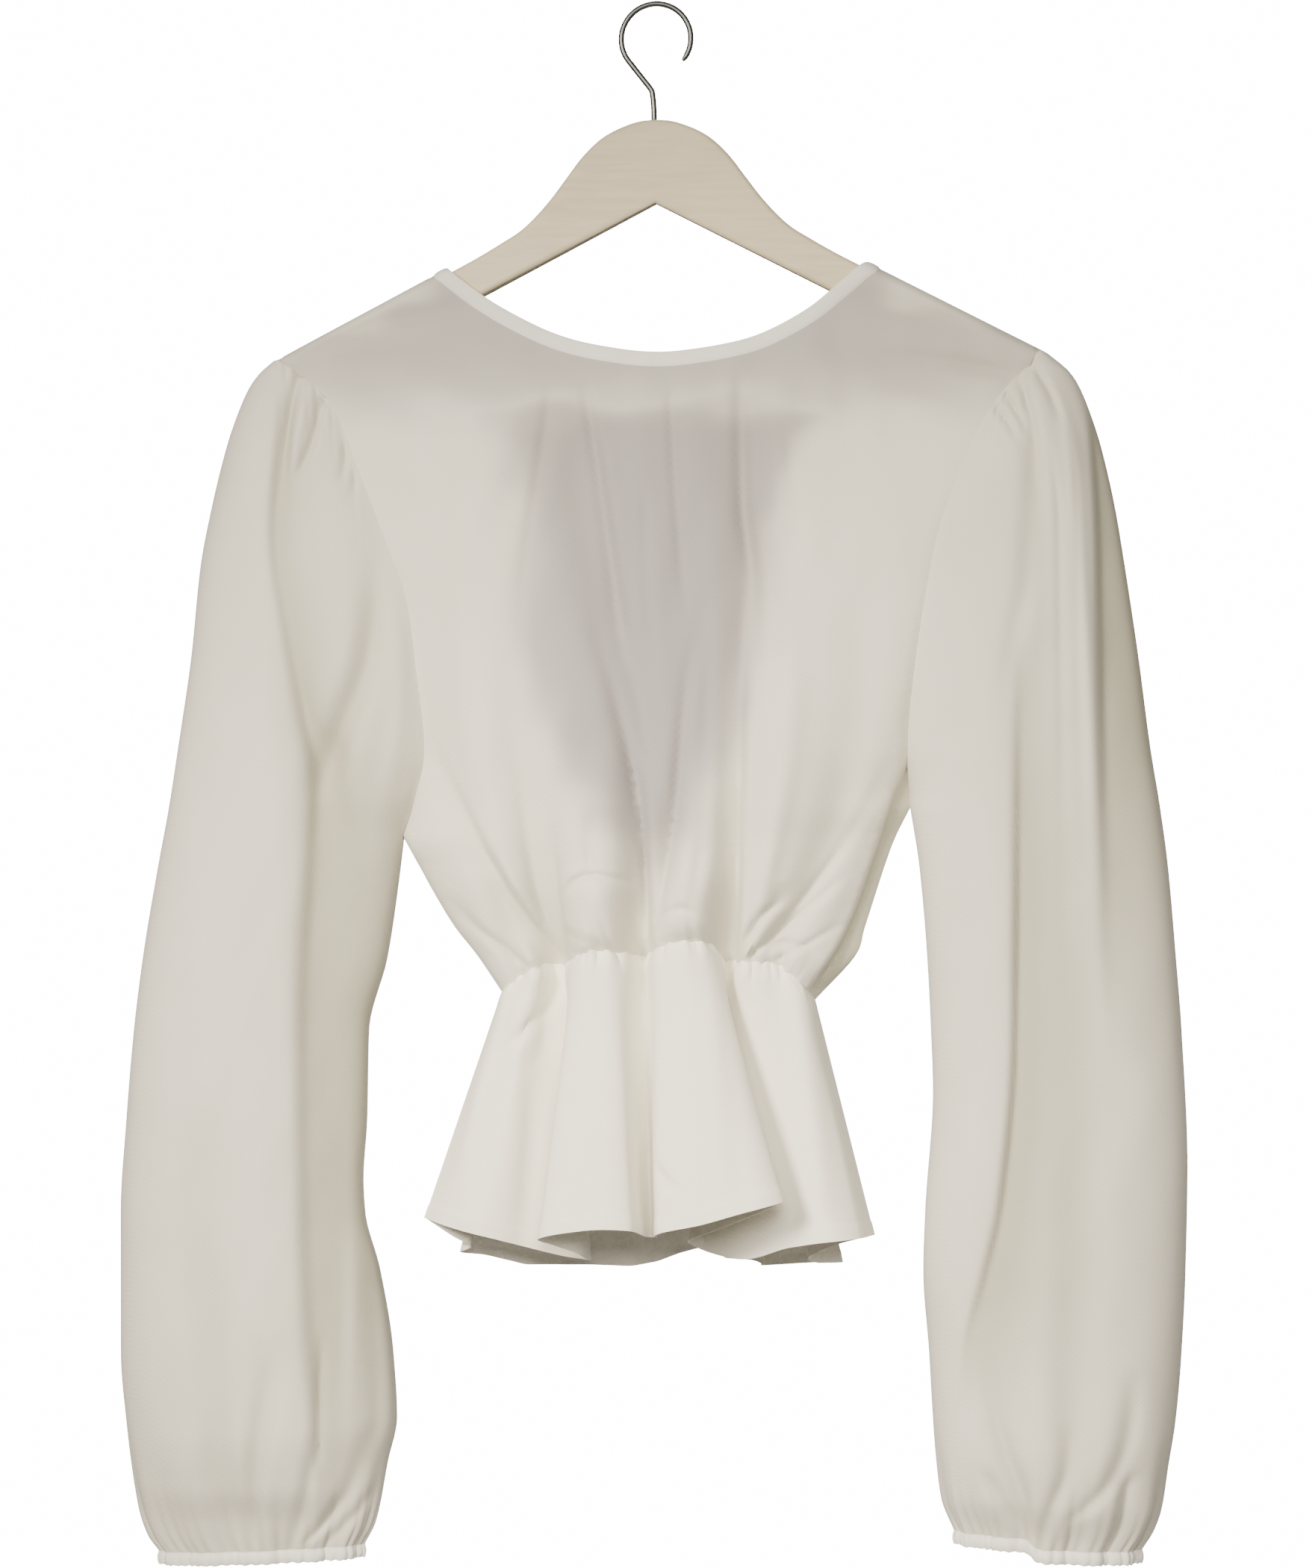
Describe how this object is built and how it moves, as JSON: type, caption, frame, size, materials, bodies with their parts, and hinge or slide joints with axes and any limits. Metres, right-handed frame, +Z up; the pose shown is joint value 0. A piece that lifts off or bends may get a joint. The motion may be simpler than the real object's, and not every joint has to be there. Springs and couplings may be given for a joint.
{
  "type": "peplum top on hanger",
  "caption": "Long-sleeved peplum top with a scooped neck, a low open back, full sleeves on gathered cuffs and a flared hem, hung on a flat hanger with a wire hook.",
  "frame": {"origin": "the place where the hook takes the rail: the inner top of the hook", "axes": "+Z up, with everything hanging below the origin; -Y is the garment's front; +X is to the viewer's right"},
  "size_m": [0.5612, 0.1072, 0.822],
  "materials": {
    "cloth": "matt, plain woven, off-white",
    "hanger_wood": "satin cream paint",
    "hook_wire": "dull dark steel"
  },
  "bodies": {
    "root": {"bodice_front": "cloth", "bodice_back_left": "cloth", "bodice_back_right": "cloth", "sleeve_left": "cloth", "sleeve_right": "cloth", "cuff_left": "cloth", "cuff_right": "cloth", "neck_binding_front": "cloth", "neck_binding_back": "cloth", "peplum_front": "cloth", "peplum_back": "cloth", "hanger_body": "hanger_wood", "hanger_hook": "hook_wire"}
  },
  "joints": []
}
